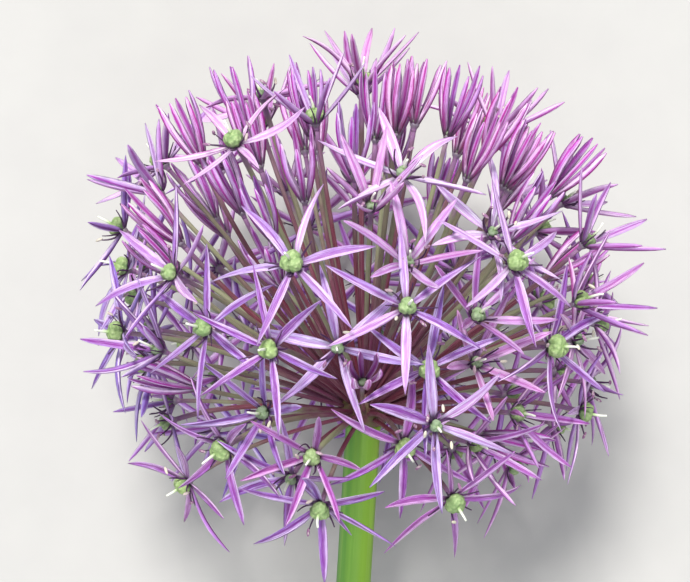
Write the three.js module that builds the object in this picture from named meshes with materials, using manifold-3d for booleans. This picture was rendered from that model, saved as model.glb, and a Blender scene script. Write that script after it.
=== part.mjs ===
// Head of a star-flowered allium, cut with a length of its stalk and laid down on a surface.
// Thin pedicels spring from one small dome on top of the stout green scape. Each ends in a
// starry floret of six narrow tepals round a three-lobed ovary, and together the florets
// make an airy ball. The head is worked out standing, with its dome at the origin, and then
// laid back, so that the side that was seen from the front looks up and its top points to +Y.
// Millimetres, +Z up.
import * as THREE from "three";
import { mergeVertices } from "three/addons/utils/BufferGeometryUtils.js";
import Module from "manifold-3d";

const degrees = Math.PI / 180;

// The whole head
const BALL_CENTRE_RISE = 34; // of the ball's centre above the top of the scape
const BALL_CENTRE_SIDE = -2.5; // the ball grew a little to one side of its stalk
const CROWN_SHARE = 0.92; // height of the ball above its centre, as a share of its half width
const SETTLED_HEIGHT = 70; // of the ball's centre above the surface, its lowest tips pressed up
const SCAPE_LENGTH = 130;
const SCAPE_RADIUS = 4.7;
const SCAPE_SIDES = 24;
const SEAT_GAP = 0.3; // between the scape and the dome on top of it

// The dome that the pedicels grow from
const DOME_RADIUS = 7;
const DOME_CENTRE_RISE = 4.5;
const DOME_RINGS = 2;
const DOME_SIDES = 6;

// Where the florets sit
const FLORET_COUNT = 126;
const GOLDEN_ANGLE = Math.PI * (3 - Math.sqrt(5));
const FIRST_TURN = 136 * degrees;
const LOWEST_POLAR = 138 * degrees; // from the top of the ball, seen from its centre
const SCATTER = 6 * degrees; // off the even spiral
const FLORET_LOWEST = 8.5; // above the surface that the head lies on
const PLACE_SEED = 2157419235;
const SHAPE_SEED = 5;

// Each floret tries places, depths and spins near its own, and keeps the one with most room
const TRIES = 120;
const TRY_SEED = 19;
const TRY_SHIFT = 2 * degrees;
const TRY_DEPTHS = [-5, 4.5]; // further in or out of the ball

// The three ages of a floret: how far it has opened, where it sits and how it stands
const AGES = {
  tuft: { opening: [12.5, 19], radius: 53.5, lift: 0.5, jitter: 1.5, length: 18.5, ovary: 1.2 },
  half: { opening: [38, 58], radius: 58, lift: 0.3, jitter: 5, length: 20, ovary: 2.3 },
  star: { opening: [72, 94], radius: 62.5, lift: 0.2, jitter: 6, length: 20.5, ovary: 2.8 },
};
const TUFT_SHARE_ABOVE = 0.78; // of the florets down to TUFTS_THICK, and falling evenly from there
const TUFT_SHARE_BELOW = 0.05; // from TUFTS_END on
const TUFTS_THICK = 40 * degrees;
const TUFTS_END = 92 * degrees;
const HALF_OPEN_SHARE = 0.15;
const LIFT_SPREAD = [0.6, 1.4]; // how much more or less a floret stands up than its age does

// One floret
const TEPAL_COUNT = 6;
const TEPAL_TURN_OFF = 0.08; // off its even place round the floret, as a share of the step
const TEPAL_LENGTH_SPREAD = [0.94, 1.04];
const TEPAL_WIDTH = 2.4;
const TEPAL_KEEL = 0.8; // depth of the keel under a tepal's widest place
const TEPAL_WIDEST = 0.42; // share of its length
const TEPAL_ARCH = 0.5; // rise of the widest place above the straight line to the tip
const CUP_RADIUS = 1.3; // where the tepals' shoulders meet
const CUP_DROP = 1.5; // from the shoulders down to the top of the pedicel
const OVARY_LOBES = 3;
const OVARY_HEIGHT = 5.1;
const OVARY_WIDEST = 2.7; // height of the ovary's widest place
const PEDICEL_SIDES = 3;
const PEDICEL_RADIUS = 0.85;
const PEDICEL_ROOT_RADIUS = 0.5;
const PEDICEL_ROOT_DEPTH = 2.5; // sunk into the dome
const PEDICEL_STRAIGHT_BELOW = 13 * degrees; // between its end and the line to its root
const PEDICEL_ARCH = 0.4; // share of its reach over which the end follows the floret's facing

// Even points along a tepal and a pedicel, from these shares out, are tested against neighbours
const TEPAL_TESTS = 8;
const TEPAL_TESTED_FROM = 0.2;
const PEDICEL_TESTS = 16;
const PEDICEL_TESTED_FROM = 0.25;
const NEIGHBOUR_REACH = 50; // between florets that could touch
const MOST_ROOM = 12; // beyond which more room is no better

const TOP = new THREE.Vector3(0, 0, 1);
const BALL_CENTRE = new THREE.Vector3(BALL_CENTRE_SIDE, 0, BALL_CENTRE_RISE);
const DOME_CENTRE = new THREE.Vector3(0, 0, DOME_CENTRE_RISE);

// The scape's cut end and the ball both touch the surface, which sets how far the axis rises
const axisLength = SCAPE_LENGTH + BALL_CENTRE_RISE;
const axisRise =
  Math.asin(SETTLED_HEIGHT / Math.hypot(axisLength, SCAPE_RADIUS)) -
  Math.atan2(SCAPE_RADIUS, axisLength);
const domeHeight = SETTLED_HEIGHT - BALL_CENTRE_RISE * Math.sin(axisRise);
const AWAY_FROM_SURFACE = new THREE.Vector3(0, -Math.cos(axisRise), Math.sin(axisRise));

function heightOf(point) {
  return domeHeight + point.dot(AWAY_FROM_SURFACE);
}

// A repeatable sequence of draws, so that the head is always the same one
const SEQUENCE_FACTOR = 1664525;
const SEQUENCE_STEP = 1013904223;
const SEQUENCE_RANGE = 2 ** 32;

function sequence(seed) {
  let state = seed;
  return ([low, high]) => {
    state = (state * SEQUENCE_FACTOR + SEQUENCE_STEP) % SEQUENCE_RANGE;
    return low + ((high - low) * state) / SEQUENCE_RANGE;
  };
}

function clamp(value, low, high) {
  return Math.min(Math.max(value, low), high);
}

function fromPolar(polar, azimuth) {
  return new THREE.Vector3(
    Math.sin(polar) * Math.cos(azimuth),
    Math.sin(polar) * Math.sin(azimuth),
    Math.cos(polar),
  );
}

function along(point, direction, distance) {
  return point.clone().addScaledVector(direction, distance);
}

// The direction with its part along the axis taken out
function squareTo(direction, axis) {
  return along(direction, axis, -direction.dot(axis)).normalize();
}

// Upper florets are the youngest: the share of closed tufts falls from the top downwards
function ageAt(polar, stage) {
  const fall = clamp((polar - TUFTS_THICK) / (TUFTS_END - TUFTS_THICK), 0, 1);
  const tuftShare = TUFT_SHARE_ABOVE + (TUFT_SHARE_BELOW - TUFT_SHARE_ABOVE) * fall;
  if (stage < tuftShare) return AGES.tuft;
  return stage < tuftShare + HALF_OPEN_SHARE ? AGES.half : AGES.star;
}

const EITHER_WAY = [-1, 1];
const ANY_SHARE = [0, 1];

// What is settled about a floret before it looks for room among its neighbours
function planFloret(index, drawPlace, draw) {
  const share = (index + 0.5) / FLORET_COUNT;
  const evenPolar = Math.acos(1 - share * (1 - Math.cos(LOWEST_POLAR)));
  const polar = evenPolar + drawPlace(EITHER_WAY) * SCATTER;
  const turnOff = (drawPlace(EITHER_WAY) * SCATTER) / Math.sin(evenPolar);
  const azimuth = FIRST_TURN + index * GOLDEN_ANGLE + turnOff;
  const age = ageAt(polar, drawPlace(ANY_SHARE));
  const opening = draw(age.opening) * degrees;
  const standsUp = age === AGES.star ? Math.max(Math.cos(polar), 0) : 1;
  const lift = age.lift * draw(LIFT_SPREAD) * standsUp;
  const tepals = [];
  for (let i = 0; i < TEPAL_COUNT; i++) {
    tepals.push({
      turn: ((i + draw(EITHER_WAY) * TEPAL_TURN_OFF) * 2 * Math.PI) / TEPAL_COUNT,
      opening: opening + draw(EITHER_WAY) * age.jitter * degrees,
      length: age.length * draw(TEPAL_LENGTH_SPREAD),
    });
  }
  return { polar, azimuth, age, lift, tepals };
}

// A tepal that would dip below the surface lies along it instead, with its length kept
function keptAboveSurface(base, direction, length) {
  const lowest = clamp(-heightOf(base) / length, -1, 1);
  const rise = direction.dot(AWAY_FROM_SURFACE);
  if (rise >= lowest) return direction;
  const level = squareTo(direction, AWAY_FROM_SURFACE);
  level.multiplyScalar(Math.sqrt(1 - lowest * lowest));
  return along(level, AWAY_FROM_SURFACE, lowest);
}

// A floret that faces nearly straight up has its tepals counted from another side
const UPRIGHT_FROM = 0.9;
const SIDEWAYS = new THREE.Vector3(1, 0, 0);

// The floret's place, directions, pedicel line and tepals, with one try's draws
function shapeFloret(plan, draw) {
  const polar = plan.polar + draw(EITHER_WAY) * TRY_SHIFT;
  const azimuth = plan.azimuth + (draw(EITHER_WAY) * TRY_SHIFT) / Math.sin(plan.polar);
  const outward = fromPolar(polar, azimuth);
  const depth = draw(TRY_DEPTHS);
  const spin = (draw(ANY_SHARE) * 2 * Math.PI) / TEPAL_COUNT;
  const flattened = outward.clone();
  flattened.z *= outward.z > 0 ? CROWN_SHARE : 1;
  const place = along(BALL_CENTRE, flattened, plan.age.radius + depth);
  place.addScaledVector(AWAY_FROM_SURFACE, Math.max(FLORET_LOWEST - heightOf(place), 0));
  const fromDome = place.clone().sub(DOME_CENTRE).normalize();
  const rootward = outward.clone().add(fromDome).normalize();
  const facing = along(rootward, TOP, plan.lift).normalize();
  const isUpright = Math.abs(facing.z) > UPRIGHT_FROM;
  const across = squareTo(isUpright ? SIDEWAYS : TOP, facing);
  const beside = facing.clone().cross(across);

  const root = along(DOME_CENTRE, rootward, DOME_RADIUS - PEDICEL_ROOT_DEPTH);
  const end = along(place, facing, -CUP_DROP);
  const bend = along(end, facing, -PEDICEL_ARCH * end.distanceTo(root));
  const pedicel = new THREE.QuadraticBezierCurve3(root, bend, end);

  const tepals = plan.tepals.map((tepal) => {
    const turn = tepal.turn + spin;
    const radial = across.clone().multiplyScalar(Math.cos(turn));
    radial.addScaledVector(beside, Math.sin(turn));
    const base = along(place, radial, CUP_RADIUS);
    const free = facing.clone().multiplyScalar(Math.cos(tepal.opening));
    free.addScaledVector(radial, Math.sin(tepal.opening));
    const direction = keptAboveSurface(base, free, tepal.length);
    const side = facing.clone().cross(radial);
    const back = direction.clone().cross(side).negate().normalize();
    const tip = along(base, direction, tepal.length);
    return { base, direction, side, back, length: tepal.length, tip };
  });
  return { place, facing, across, beside, spin, pedicel, tepals, ovary: plan.age.ovary };
}

// Points of the floret that must stay clear of its neighbours
function testPoints(shape) {
  const points = [];
  const middleOfOvary = along(shape.place, shape.facing, OVARY_WIDEST);
  for (const tepal of shape.tepals) {
    points.push(along(middleOfOvary, tepal.side, shape.ovary));
    for (let i = 0; i < TEPAL_TESTS; i++) {
      const share = TEPAL_TESTED_FROM + ((1 - TEPAL_TESTED_FROM) * i) / (TEPAL_TESTS - 1);
      points.push(along(tepal.base, tepal.direction, tepal.length * share));
    }
  }
  for (let i = 0; i < PEDICEL_TESTS; i++) {
    const share = PEDICEL_TESTED_FROM + ((1 - PEDICEL_TESTED_FROM) * i) / PEDICEL_TESTS;
    points.push(shape.pedicel.getPoint(share));
  }
  return points;
}

function leastDistance(points, others, knownLeast) {
  let least = knownLeast * knownLeast;
  for (const point of points) {
    for (const other of others) {
      least = Math.min(least, point.distanceToSquared(other));
    }
  }
  return Math.sqrt(least);
}

// The florets are settled in turn, from the top down, each where it has most room
function settleFlorets() {
  const drawPlace = sequence(PLACE_SEED);
  const drawShape = sequence(SHAPE_SEED);
  const drawTry = sequence(TRY_SEED);
  const settled = [];
  for (let index = 0; index < FLORET_COUNT; index++) {
    const plan = planFloret(index, drawPlace, drawShape);
    let best = { room: -1 };
    for (let attempt = 0; attempt < TRIES; attempt++) {
      const shape = shapeFloret(plan, drawTry);
      const points = testPoints(shape);
      let room = MOST_ROOM;
      for (const other of settled) {
        if (other.shape.place.distanceTo(shape.place) < NEIGHBOUR_REACH) {
          room = leastDistance(points, other.points, room);
        }
      }
      if (room > best.room) best = { shape, points, room };
    }
    settled.push(best);
  }
  return settled.map((floret) => floret.shape);
}

// Corners of a ring about a centre, turned the way of the right hand about the ring's axis
function ring(centre, across, beside, radius, count, firstAngle) {
  return Array.from({ length: count }, (_, i) => {
    const angle = firstAngle + (i * 2 * Math.PI) / count;
    return along(along(centre, across, radius * Math.cos(angle)), beside, radius * Math.sin(angle));
  });
}

// A corner of the pedicel lies below each second gap between two tepals
function pedicelRing(shape, share, radius) {
  const axis = shape.pedicel.getTangent(share);
  const across = squareTo(shape.across, axis);
  const beside = axis.clone().cross(across);
  const firstAngle = shape.spin + Math.PI / TEPAL_COUNT;
  return ring(shape.pedicel.getPoint(share), across, beside, radius, PEDICEL_SIDES, firstAngle);
}

// A nearly straight pedicel has no corners at its middle
function isBowed(pedicel) {
  const chord = pedicel.v2.clone().sub(pedicel.v0);
  return pedicel.getTangent(1).angleTo(chord) > PEDICEL_STRAIGHT_BELOW;
}

// One closed skin over pedicel, cup, tepals and ovary, which share their corners
function floretGeometry(shape) {
  const corners = [];
  const faces = [];
  const add = (points) => points.map((point) => corners.push(point) - 1);
  const face = (...three) => faces.push(...three);
  // A band of triangles from one ring to the next one along the axis
  const band = (low, high) => {
    low.forEach((corner, i) => {
      const next = (i + 1) % low.length;
      face(corner, low[next], high[next]);
      face(corner, high[next], high[i]);
    });
  };
  const point = (ringCorners, tip) => {
    ringCorners.forEach((corner, i) => {
      face(corner, ringCorners[(i + 1) % ringCorners.length], tip);
    });
  };

  const { place, facing, across, beside, spin, pedicel, tepals } = shape;
  const count = TEPAL_COUNT;
  const betweenTepals = spin - Math.PI / count;
  const root = add(pedicelRing(shape, 0, PEDICEL_ROOT_RADIUS));
  const end = add(pedicelRing(shape, 1, PEDICEL_RADIUS));
  face(root[2], root[1], root[0]);
  if (isBowed(pedicel)) {
    const middle = add(pedicelRing(shape, 0.5, PEDICEL_RADIUS));
    band(root, middle);
    band(middle, end);
  } else {
    band(root, end);
  }
  const shoulders = add(ring(place, across, beside, CUP_RADIUS, count, betweenTepals));

  // Each corner of the pedicel's end carries the backs of two tepals
  end.forEach((corner, side) => {
    face(corner, end[(side + 1) % PEDICEL_SIDES], shoulders[(2 * side + 2) % count]);
  });
  tepals.forEach((tepal, i) => {
    const widest = along(tepal.base, tepal.direction, tepal.length * TEPAL_WIDEST);
    widest.addScaledVector(tepal.back, -TEPAL_ARCH);
    const section = add([
      along(widest, tepal.side, TEPAL_WIDTH / 2),
      along(widest, tepal.side, -TEPAL_WIDTH / 2),
      along(widest, tepal.back, TEPAL_KEEL),
    ]);
    const [tip] = add([tepal.tip]);
    band([shoulders[(i + 1) % count], shoulders[i], end[Math.floor(i / 2)]], section);
    point(section, tip);
  });

  // The ovary has a corner for each of its three lobes, and is a low cone inside a closed tuft
  const widest = along(place, facing, OVARY_WIDEST);
  if (shape.ovary > CUP_RADIUS) {
    const firstLobe = spin + Math.PI / count;
    const lobes = add(ring(widest, across, beside, shape.ovary, OVARY_LOBES, firstLobe));
    lobes.forEach((lobe, i) => {
      face(shoulders[2 * i], shoulders[2 * i + 1], lobe);
      face(shoulders[2 * i + 1], shoulders[(2 * i + 2) % count], lobe);
      face(shoulders[(2 * i + 2) % count], lobes[(i + 1) % lobes.length], lobe);
    });
    point(lobes, add([along(place, facing, OVARY_HEIGHT)])[0]);
  } else {
    point(shoulders, add([widest])[0]);
  }

  return new THREE.BufferGeometry().setFromPoints(corners).setIndex(faces);
}

const wasm = await Module();
wasm.setup();

// A closed geometry as a solid that can be joined to others
function solidOf(geometry) {
  const bare = geometry.clone();
  bare.deleteAttribute("normal");
  bare.deleteAttribute("uv");
  const merged = mergeVertices(bare);
  const vertProperties = new Float32Array(merged.attributes.position.array);
  const triVerts = new Uint32Array(merged.index.array);
  return new wasm.Manifold(new wasm.Mesh({ numProp: 3, vertProperties, triVerts }));
}

function geometryOf(solid) {
  const mesh = solid.getMesh();
  const geometry = new THREE.BufferGeometry();
  geometry.setAttribute("position", new THREE.BufferAttribute(mesh.vertProperties, 3));
  geometry.setIndex(new THREE.BufferAttribute(mesh.triVerts, 1));
  geometry.computeVertexNormals();
  return geometry;
}

// A dome with a flat underside just above the scape's top
function domeGeometry() {
  const lowest = Math.asin((SEAT_GAP - DOME_CENTRE_RISE) / DOME_RADIUS);
  const profile = [new THREE.Vector2(0, SEAT_GAP)];
  for (let i = 0; i <= DOME_RINGS; i++) {
    const angle = lowest + ((Math.PI / 2 - lowest) * i) / DOME_RINGS;
    const radius = i === DOME_RINGS ? 0 : DOME_RADIUS * Math.cos(angle);
    profile.push(new THREE.Vector2(radius, DOME_CENTRE_RISE + DOME_RADIUS * Math.sin(angle)));
  }
  return new THREE.LatheGeometry(profile, DOME_SIDES).rotateX(Math.PI / 2);
}

function umbelMesh() {
  let umbel = solidOf(domeGeometry());
  for (const shape of settleFlorets()) {
    umbel = umbel.add(solidOf(floretGeometry(shape)));
  }
  const material = new THREE.MeshStandardMaterial({ color: 0xb98bd0, roughness: 0.45, metalness: 0 });
  const mesh = new THREE.Mesh(geometryOf(umbel), material);
  mesh.name = "umbel";
  return mesh;
}

// The stout round stalk, cut square at its lower end
function scapeMesh() {
  const profile = [
    new THREE.Vector2(0, -SCAPE_LENGTH),
    new THREE.Vector2(SCAPE_RADIUS, -SCAPE_LENGTH),
    new THREE.Vector2(SCAPE_RADIUS, -SCAPE_LENGTH / 2),
    new THREE.Vector2(SCAPE_RADIUS, 0),
    new THREE.Vector2(0, 0),
  ];
  const geometry = new THREE.LatheGeometry(profile, SCAPE_SIDES).rotateX(Math.PI / 2);
  const material = new THREE.MeshStandardMaterial({ color: 0x7da53c, roughness: 0.5, metalness: 0 });
  const mesh = new THREE.Mesh(geometry, material);
  mesh.name = "scape";
  return mesh;
}

// Laid back on the surface, with the middle of its outline over the origin
const flower = new THREE.Group();
flower.add(scapeMesh(), umbelMesh());
flower.rotation.x = axisRise - Math.PI / 2;
flower.position.z = domeHeight;
const group = new THREE.Group();
group.add(flower);
const outline = new THREE.Box3().setFromObject(group, true).getCenter(new THREE.Vector3());
flower.position.x = -outline.x;
flower.position.y = -outline.y;

export default group;
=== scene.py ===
"""The head of a star-flowered allium, cut with a length of its stalk and lying on a pale table.

The pieces follow in the order in which the head is put together: how it lies, where each floret
stands, then dome, pedicels, tepals, ovaries, stamens and scape, and last the table, the light and
the camera. Metres, +Z up, with the top of the head towards +Y.
"""

import math

import bpy
import numpy as np
from mathutils import Matrix, Vector


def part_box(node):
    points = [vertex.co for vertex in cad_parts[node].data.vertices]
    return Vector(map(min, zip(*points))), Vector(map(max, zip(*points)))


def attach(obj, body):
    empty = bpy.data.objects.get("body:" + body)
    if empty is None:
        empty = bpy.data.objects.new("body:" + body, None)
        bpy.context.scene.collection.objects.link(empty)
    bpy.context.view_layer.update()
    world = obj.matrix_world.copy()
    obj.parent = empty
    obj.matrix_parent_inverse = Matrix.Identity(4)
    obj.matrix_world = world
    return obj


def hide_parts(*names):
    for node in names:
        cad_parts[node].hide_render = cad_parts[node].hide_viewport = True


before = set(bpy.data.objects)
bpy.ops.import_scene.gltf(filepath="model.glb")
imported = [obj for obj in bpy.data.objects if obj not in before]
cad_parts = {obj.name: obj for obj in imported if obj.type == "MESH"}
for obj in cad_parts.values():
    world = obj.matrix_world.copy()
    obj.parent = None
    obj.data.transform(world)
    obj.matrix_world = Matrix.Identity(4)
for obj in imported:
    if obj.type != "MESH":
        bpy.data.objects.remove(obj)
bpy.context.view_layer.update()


# How the head lies
# The cut stalk slopes up from its cut end to the dome that carries the florets, because the ball
# of florets rests on its lowest tepals. Places are worked out on the standing head, in
# millimetres from the top of the stalk, and then laid back.
MILLIMETRE = 0.001
SCAPE_LENGTH = 130
SCAPE_RADIUS = 4.7
BALL_CENTRE_RISE = 34
SETTLED_HEIGHT = 70

axis_length = SCAPE_LENGTH + BALL_CENTRE_RISE
cut_edge_reach = math.hypot(axis_length, SCAPE_RADIUS)
axis_rise = math.asin(SETTLED_HEIGHT / cut_edge_reach) - math.atan2(SCAPE_RADIUS, axis_length)
rise_sine, rise_cosine = math.sin(axis_rise), math.cos(axis_rise)
dome_height = SETTLED_HEIGHT - BALL_CENTRE_RISE * rise_sine
AWAY_FROM_TABLE = np.array([0, -rise_cosine, rise_sine])
laid_axes = np.array([[1, 0, 0], [0, rise_sine, -rise_cosine], [0, rise_cosine, rise_sine]])

scape_low, scape_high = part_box("scape")
scape_top = np.array(
    [
        (scape_low.x + scape_high.x) / 2,
        scape_high.y - SCAPE_RADIUS * MILLIMETRE * rise_sine,
        scape_high.z - SCAPE_RADIUS * MILLIMETRE * rise_cosine,
    ]
)


def height_of(places):
    """Millimetres above the table of places on the standing head."""
    return dome_height + places @ AWAY_FROM_TABLE


def laid(places):
    return scape_top + MILLIMETRE * (places @ laid_axes)


def turned(directions):
    return directions @ laid_axes


# Where the florets stand
# The 126 florets follow the spiral in which they grew, youngest at the top. Each is a closed
# tuft, half open or an open star, and of many places near its own it takes the one with most
# room, so that no floret grows through its neighbours.
BALL_CENTRE = np.array([-2.5, 0, BALL_CENTRE_RISE])
CROWN_SHARE = 0.92
DOME_RADIUS = 7
DOME_CENTRE = np.array([0, 0, 4.5])
FLORET_COUNT = 126
GOLDEN_ANGLE = math.pi * (3 - math.sqrt(5))
FIRST_TURN = math.radians(136)
LOWEST_POLAR = math.radians(138)
SCATTER = math.radians(6)
FLORET_LOWEST = 8.5
PLACE_SEED = 2157419235
SHAPE_SEED = 5
TRIES = 120
TRY_SEED = 19
TRY_SHIFT = math.radians(2)
TRY_DEPTHS = (-5, 4.5)
AGES = {
    "tuft": dict(opening=(12.5, 19), radius=53.5, lift=0.5, jitter=1.5, length=18.5, ovary=1.2),
    "half": dict(opening=(38, 58), radius=58, lift=0.3, jitter=5, length=20, ovary=2.3),
    "star": dict(opening=(72, 94), radius=62.5, lift=0.2, jitter=6, length=20.5, ovary=2.8),
}
TUFT_SHARE_ABOVE = 0.78
TUFT_SHARE_BELOW = 0.05
TUFTS_THICK = math.radians(40)
TUFTS_END = math.radians(92)
HALF_OPEN_SHARE = 0.15
LIFT_SPREAD = (0.6, 1.4)
TEPAL_COUNT = 6
TEPAL_TURN_OFF = 0.08
TEPAL_LENGTH_SPREAD = (0.94, 1.04)
CUP_RADIUS = 1.3
CUP_DROP = 1.5
OVARY_WIDEST = 2.7
PEDICEL_ROOT_DEPTH = 2.5
PEDICEL_ARCH = 0.4
TEPAL_TESTS = np.linspace(0.2, 1, 8)
PEDICEL_TESTS = np.linspace(0.25, 1, 17)[:-1]
NEIGHBOUR_REACH = 50
MOST_ROOM = 12
UPRIGHT_FROM = 0.9
EITHER_WAY = (-1, 1)
ANY_SHARE = (0, 1)
SEQUENCE_FACTOR = 1664525
SEQUENCE_STEP = 1013904223
SEQUENCE_RANGE = 2**32


def draws_from(seed):
    """A repeatable sequence of draws between two limits."""
    state = seed

    def draw(limits):
        nonlocal state
        state = (state * SEQUENCE_FACTOR + SEQUENCE_STEP) % SEQUENCE_RANGE
        return limits[0] + (limits[1] - limits[0]) * state / SEQUENCE_RANGE

    return draw


def unit(vectors):
    return vectors / np.linalg.norm(vectors, axis=-1, keepdims=True)


def square_to(directions, axes):
    """The directions with their part along the axes taken out."""
    return unit(directions - axes * np.sum(directions * axes, axis=-1, keepdims=True))


def age_at(polar, stage):
    fall = min(max((polar - TUFTS_THICK) / (TUFTS_END - TUFTS_THICK), 0), 1)
    tuft_share = TUFT_SHARE_ABOVE + (TUFT_SHARE_BELOW - TUFT_SHARE_ABOVE) * fall
    if stage < tuft_share:
        return "tuft"
    return "half" if stage < tuft_share + HALF_OPEN_SHARE else "star"


def plan_floret(index, draw_place, draw):
    """What is settled about a floret before it looks for room."""
    even_polar = math.acos(1 - (index + 0.5) / FLORET_COUNT * (1 - math.cos(LOWEST_POLAR)))
    polar = even_polar + draw_place(EITHER_WAY) * SCATTER
    turn_off = draw_place(EITHER_WAY) * SCATTER / math.sin(even_polar)
    stage = age_at(polar, draw_place(ANY_SHARE))
    age = AGES[stage]
    opening = math.radians(draw(age["opening"]))
    stands_up = max(math.cos(polar), 0) if stage == "star" else 1
    lift = age["lift"] * draw(LIFT_SPREAD) * stands_up
    tepals = np.array(
        [
            [
                (i + draw(EITHER_WAY) * TEPAL_TURN_OFF) * 2 * math.pi / TEPAL_COUNT,
                opening + draw(EITHER_WAY) * math.radians(age["jitter"]),
                age["length"] * draw(TEPAL_LENGTH_SPREAD),
            ]
            for i in range(TEPAL_COUNT)
        ]
    )
    azimuth = FIRST_TURN + index * GOLDEN_ANGLE + turn_off
    return dict(polar=polar, azimuth=azimuth, stage=stage, age=age, lift=lift, tepals=tepals)


def kept_above_table(bases, directions, lengths):
    """A tepal that would dip into the table lies along it instead."""
    lowest = np.clip(-height_of(bases) / lengths, -1, 1)[..., None]
    rise = (directions @ AWAY_FROM_TABLE)[..., None]
    level = square_to(directions, AWAY_FROM_TABLE)
    lying = level * np.sqrt(1 - lowest * lowest) + AWAY_FROM_TABLE * lowest
    return np.where(rise >= lowest, directions, lying)


def shape_tries(plan, draw):
    """Every try's places and directions, each in an array with the try as its first index."""
    draws = [
        [draw(EITHER_WAY), draw(EITHER_WAY), draw(TRY_DEPTHS), draw(ANY_SHARE)]
        for _ in range(TRIES)
    ]
    polar_off, azimuth_off, depth, spin_share = np.array(draws).T
    polar = plan["polar"] + polar_off * TRY_SHIFT
    azimuth = plan["azimuth"] + azimuth_off * TRY_SHIFT / math.sin(plan["polar"])
    sine = np.sin(polar)
    outward = np.stack([sine * np.cos(azimuth), sine * np.sin(azimuth), np.cos(polar)], axis=-1)
    crown = np.where(outward[:, 2:] > 0, (1, 1, CROWN_SHARE), 1)
    place = BALL_CENTRE + outward * crown * (plan["age"]["radius"] + depth)[:, None]
    place = place + AWAY_FROM_TABLE * np.maximum(FLORET_LOWEST - height_of(place), 0)[:, None]
    rootward = unit(outward + unit(place - DOME_CENTRE))
    facing = unit(rootward + np.array([0, 0, plan["lift"]]))
    is_upright = np.abs(facing[:, 2:]) > UPRIGHT_FROM
    across = square_to(np.where(is_upright, (1.0, 0, 0), (0, 0, 1.0)), facing)
    beside = np.cross(facing, across)
    root = DOME_CENTRE + rootward * (DOME_RADIUS - PEDICEL_ROOT_DEPTH)
    end = place - facing * CUP_DROP
    reach = np.linalg.norm(end - root, axis=-1, keepdims=True)
    bend = end - facing * PEDICEL_ARCH * reach

    turn_off, opening, length = plan["tepals"].T
    turn = (turn_off + spin_share[:, None] * 2 * math.pi / TEPAL_COUNT)[..., None]
    radial = across[:, None] * np.cos(turn) + beside[:, None] * np.sin(turn)
    base = place[:, None] + radial * CUP_RADIUS
    opening = opening[:, None]
    free = facing[:, None] * np.cos(opening) + radial * np.sin(opening)
    direction = kept_above_table(base, free, length)
    side = np.cross(facing[:, None], radial)
    inner = unit(np.cross(direction, side))
    return dict(
        place=place, facing=facing, across=across, beside=beside, root=root, end=end, bend=bend,
        radial=radial, base=base, direction=direction, side=side, inner=inner,
        length=np.broadcast_to(length, base.shape[:2]),
    )


def along_curve(root, bend, end, share):
    return root * (1 - share) ** 2 + bend * 2 * share * (1 - share) + end * share**2


def points_to_clear(shapes, ovary):
    """Points of each try that must stay clear of the neighbours."""
    middle = (shapes["place"] + shapes["facing"] * OVARY_WIDEST)[:, None]
    on_ovary = middle + shapes["side"] * ovary
    reach = (shapes["length"][..., None] * TEPAL_TESTS)[..., None]
    on_tepals = shapes["base"][:, :, None] + shapes["direction"][:, :, None] * reach
    share = PEDICEL_TESTS[:, None]
    on_pedicel = along_curve(
        shapes["root"][:, None], shapes["bend"][:, None], shapes["end"][:, None], share
    )
    return np.concatenate([on_ovary, on_tepals.reshape(TRIES, -1, 3), on_pedicel], axis=1)


def room_of(points, places, settled):
    """Each try's distance from the nearest point of a neighbour."""
    flat = points.reshape(-1, 3)
    flat_squares = np.sum(flat * flat, axis=1)[:, None]
    room = np.full(TRIES, float(MOST_ROOM**2))
    for other in settled:
        is_near = np.linalg.norm(places - other["place"], axis=1) < NEIGHBOUR_REACH
        if is_near.any():
            squares = np.sum(other["points"] ** 2, axis=1)
            gaps = flat_squares + squares - 2 * flat @ other["points"].T
            least = gaps.min(axis=1).reshape(TRIES, -1).min(axis=1)
            room = np.where(is_near, np.minimum(room, least), room)
    return room


def settle_florets():
    draw_place = draws_from(PLACE_SEED)
    draw_shape = draws_from(SHAPE_SEED)
    draw_try = draws_from(TRY_SEED)
    settled = []
    for index in range(FLORET_COUNT):
        plan = plan_floret(index, draw_place, draw_shape)
        shapes = shape_tries(plan, draw_try)
        points = points_to_clear(shapes, plan["age"]["ovary"])
        best = int(np.argmax(room_of(points, shapes["place"], settled)))
        floret = {name: values[best] for name, values in shapes.items()}
        floret.update(points=points[best], stage=plan["stage"], polar=plan["polar"])
        settled.append(floret)
    return settled


florets = settle_florets()


# The dome
# The swollen top of the stalk that every pedicel grows out of, green flushed with maroon and
# all but hidden by them. It is turned as one closed form, pressed onto the stalk.
DOME_SIDES = 48
DOME_RINGS = 15
DOME_LOWEST = math.radians(-37)
DOME_FOOT_RADIUS = 4.9
DIMPLES_AROUND = 9
DIMPLE_DEPTH = 0.03
DIMPLE_CLOSENESS = 1.7


class Wire:
    """An output in a node tree. Sums and products of wires add the nodes that work them out."""

    def __init__(self, plan, socket):
        self.plan = plan
        self.socket = socket

    def __add__(self, other):
        return self.plan.work("ADD", self, other)

    def __sub__(self, other):
        return self.plan.work("SUBTRACT", self, other)

    def __rsub__(self, other):
        return self.plan.work("SUBTRACT", other, self)

    def __mul__(self, other):
        return self.plan.work("MULTIPLY", self, other)

    __radd__ = __add__
    __rmul__ = __mul__


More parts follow.
